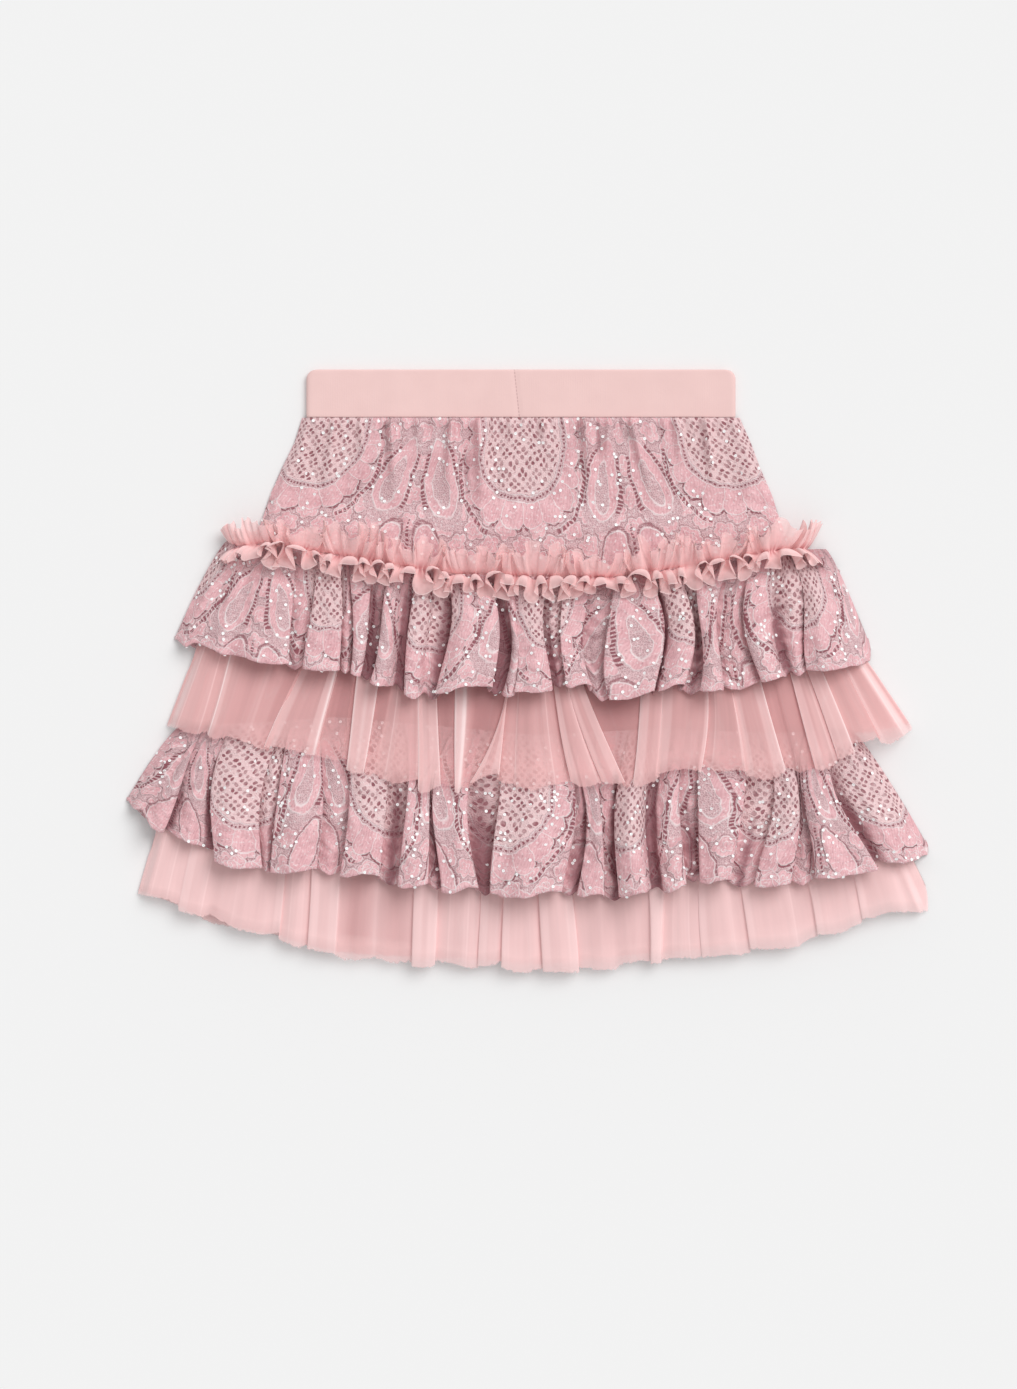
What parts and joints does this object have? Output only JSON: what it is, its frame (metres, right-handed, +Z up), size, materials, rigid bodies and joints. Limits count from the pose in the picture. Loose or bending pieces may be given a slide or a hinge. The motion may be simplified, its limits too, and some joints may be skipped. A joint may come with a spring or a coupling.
{
  "type": "tiered lace skirt",
  "caption": "Child's pull-on tiered skirt of lace and tulle, laid flat face up, with an elastic waistband, a lace yoke and a gathered ruche over layered ruffles.",
  "frame": {"origin": "centre of the laid skirt's bounding box, on the surface that it lies on", "axes": "+X across the skirt to the right as seen from above, +Y from the hem to the waistband, +Z up out of the surface"},
  "size_m": [0.5008, 0.3766, 0.0335],
  "materials": {
    "elastic": "matt",
    "lining_cloth": "matt",
    "lace": "matt",
    "tulle": "satin"
  },
  "bodies": {
    "root": {"waistband_front": "elastic", "waistband_back": "elastic", "base_front": "lining_cloth", "base_back": "lining_cloth", "yoke_front": "lace", "yoke_back": "lace", "ruche_front": "tulle", "ruche_back": "tulle", "lace_tier_1_front": "lace", "lace_tier_1_back": "lace", "tulle_tier_1_front": "tulle", "tulle_tier_1_back": "tulle", "lace_tier_2_front": "lace", "lace_tier_2_back": "lace", "tulle_tier_2_front": "tulle", "tulle_tier_2_back": "tulle"}
  },
  "joints": []
}
